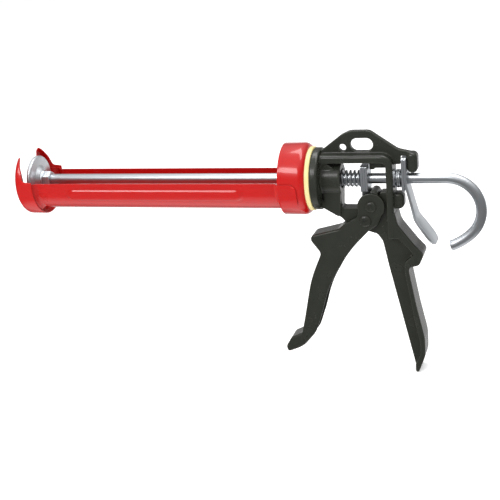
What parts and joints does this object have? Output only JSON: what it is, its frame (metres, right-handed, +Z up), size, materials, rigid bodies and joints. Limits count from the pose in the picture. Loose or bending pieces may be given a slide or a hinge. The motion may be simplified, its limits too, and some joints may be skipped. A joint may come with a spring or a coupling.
{
  "type": "caulking gun",
  "caption": "Hand-operated cartridge caulking gun: rotating half-barrel cradle, through rod with hook and plunger, pistol handle, trigger, gripping plates and release lever.",
  "frame": {"origin": "on the rod's axis, at the inner face of the collar's rear wall, where the cartridge seats", "axes": "+X along the rod towards the hook (the nozzle is at -X), +Z up from the handle to the hanger plate, Y across the gun"},
  "size_m": [0.4176, 0.064, 0.2152],
  "materials": {
    "red_paint": "glossy red powder coat",
    "pale_ring": "moulded plastic, pale yellow",
    "black_casting": "satin black powder coat on die casting",
    "black_rivet": "satin black rivet",
    "zinc_rod": "bright zinc-plated drawn bar",
    "zinc_plate": "zinc-plated pressed steel",
    "spring_steel": "zinc-plated spring wire"
  },
  "bodies": {
    "frame": {"body_frame": "black_casting", "bearing_ring": "pale_ring", "barrel_thrust_washer": "zinc_plate", "barrel_circlip": "spring_steel", "spring_seat": "zinc_plate", "drive_spring": "spring_steel", "release_spring_seat": "zinc_plate", "release_spring": "spring_steel"},
    "barrel": {"cradle": "red_paint", "front_cap": "red_paint", "collar": "red_paint"},
    "plunger": {"plunger_disc": "zinc_plate", "plunger_washer": "zinc_plate"},
    "rod": {"rod_with_hook": "zinc_rod", "plunger_rear_nut": "zinc_plate", "plunger_front_nut": "zinc_plate"},
    "grip": {"gripping_plate_1": "zinc_plate", "gripping_plate_2": "zinc_plate", "gripping_plate_3": "zinc_plate"},
    "trigger": {"trigger": "black_casting", "trigger_pivot_pin": "black_rivet", "trigger_stop_pin": "black_rivet"},
    "release": {"release_lever": "zinc_plate", "brake_plate": "zinc_plate"}
  },
  "joints": [
    {"name": "barrel_spin", "type": "hinge", "parent": "frame", "child": "barrel", "pos_m": [0, 0, 0], "axis": [1, 0, 0], "continuous": true},
    {"name": "rod_slide", "type": "slide", "parent": "frame", "child": "plunger", "axis": [1, 0, 0], "range_m": [-0.003, 0.2495]},
    {"name": "rod_turn", "type": "hinge", "parent": "plunger", "child": "rod", "pos_m": [0, 0, 0], "axis": [1, 0, 0], "continuous": true},
    {"name": "trigger_pull", "type": "hinge", "parent": "frame", "child": "trigger", "pos_m": [0.0533, 0, -0.0223], "axis": [0, -1, 0], "range_deg": [0, 34], "stiffness_Nm_per_rad": 0.6, "springref_deg": -20.05},
    {"name": "grip_slide", "type": "slide", "parent": "frame", "child": "grip", "axis": [-1, 0, 0], "range_m": [0, 0.0064], "deforming": ["drive_spring"]},
    {"name": "release_press", "type": "hinge", "parent": "frame", "child": "release", "pos_m": [0.084, 0, 0.0186], "axis": [0, 1, 0], "range_deg": [0, 5], "stiffness_Nm_per_rad": 0.5, "springref_deg": -17.19, "deforming": ["release_spring"]}
  ],
  "couplings": [
    {"joint": "grip_slide", "follows": "trigger_pull", "m_per_rad": 0.01026}
  ]
}
